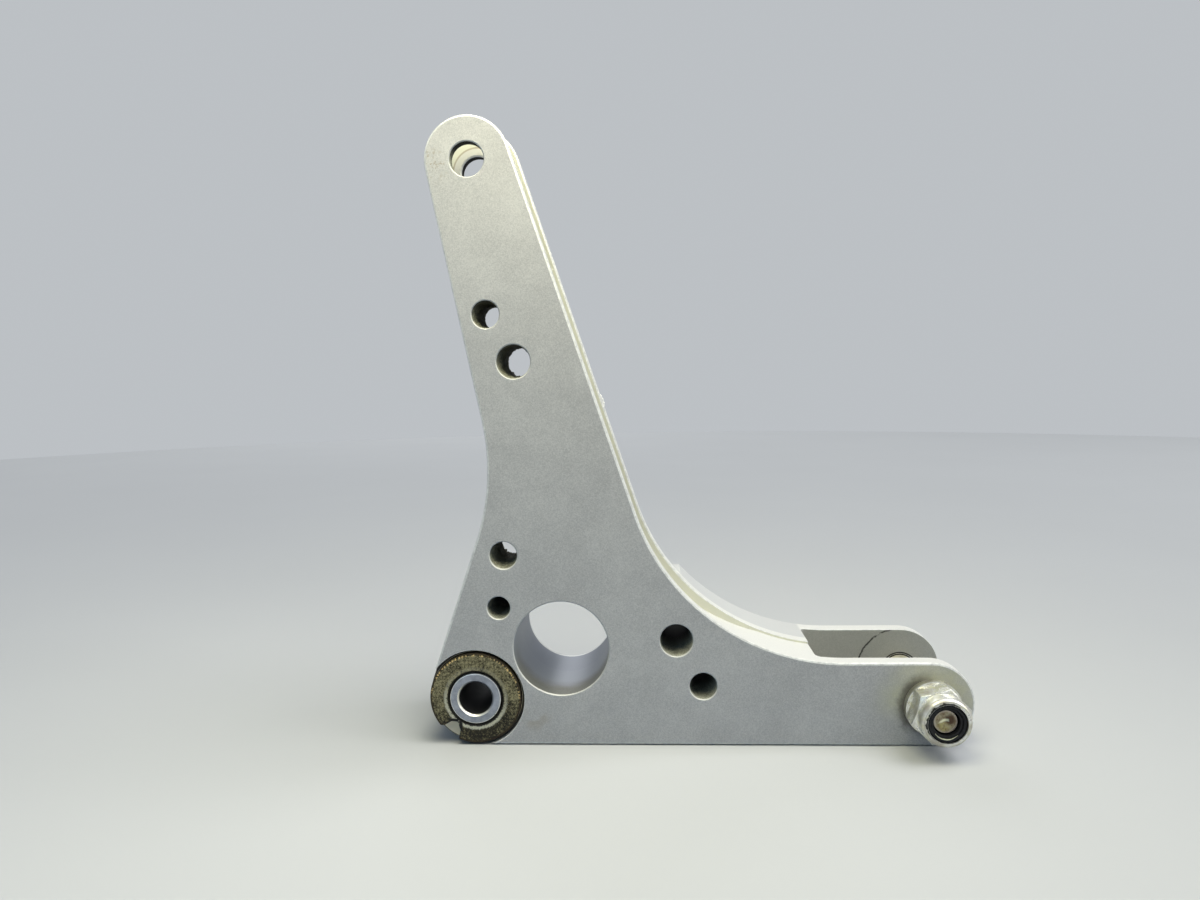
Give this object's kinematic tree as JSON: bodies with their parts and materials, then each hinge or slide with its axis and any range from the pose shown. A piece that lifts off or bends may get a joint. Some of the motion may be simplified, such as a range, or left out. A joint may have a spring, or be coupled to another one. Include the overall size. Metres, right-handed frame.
{
  "type": "bellcrank",
  "caption": "Machined aluminium control bellcrank with a forked end on each arm, a bushed pivot at the corner and a bolt with a lock nut in the lower fork.",
  "frame": {"origin": "on the pivot axis, at the middle of the hub's length", "axes": "+Y along the pivot axis, away from the broad front face; +Z square to the straight bottom edge, up the long arm; +X along the lower arm"},
  "size_m": [0.1038, 0.0351, 0.1192],
  "materials": {
    "crank_metal": "fine blasted and anodised, satin",
    "bush_laminate": "turned fabric laminate, worn and oily",
    "sleeve_steel": "turned, worn",
    "plated_steel": "dull yellowish plating",
    "insert_plastic": "matt black"
  },
  "bodies": {
    "crank": {"crank_body": "crank_metal", "front_flanged_bush": "bush_laminate", "rear_flanged_bush": "bush_laminate", "front_ear_bush": "plated_steel", "rear_ear_bush": "plated_steel", "fork_bolt": "plated_steel", "head_washer": "plated_steel", "nut_washer": "plated_steel", "lock_nut": "plated_steel", "nut_insert": "insert_plastic"},
    "sleeve": {"pivot_sleeve": "sleeve_steel"}
  },
  "joints": [
    {"name": "pivot_turn", "type": "hinge", "parent": "crank", "child": "sleeve", "pos_m": [0, 0, 0], "axis": [0, 1, 0], "continuous": true}
  ]
}
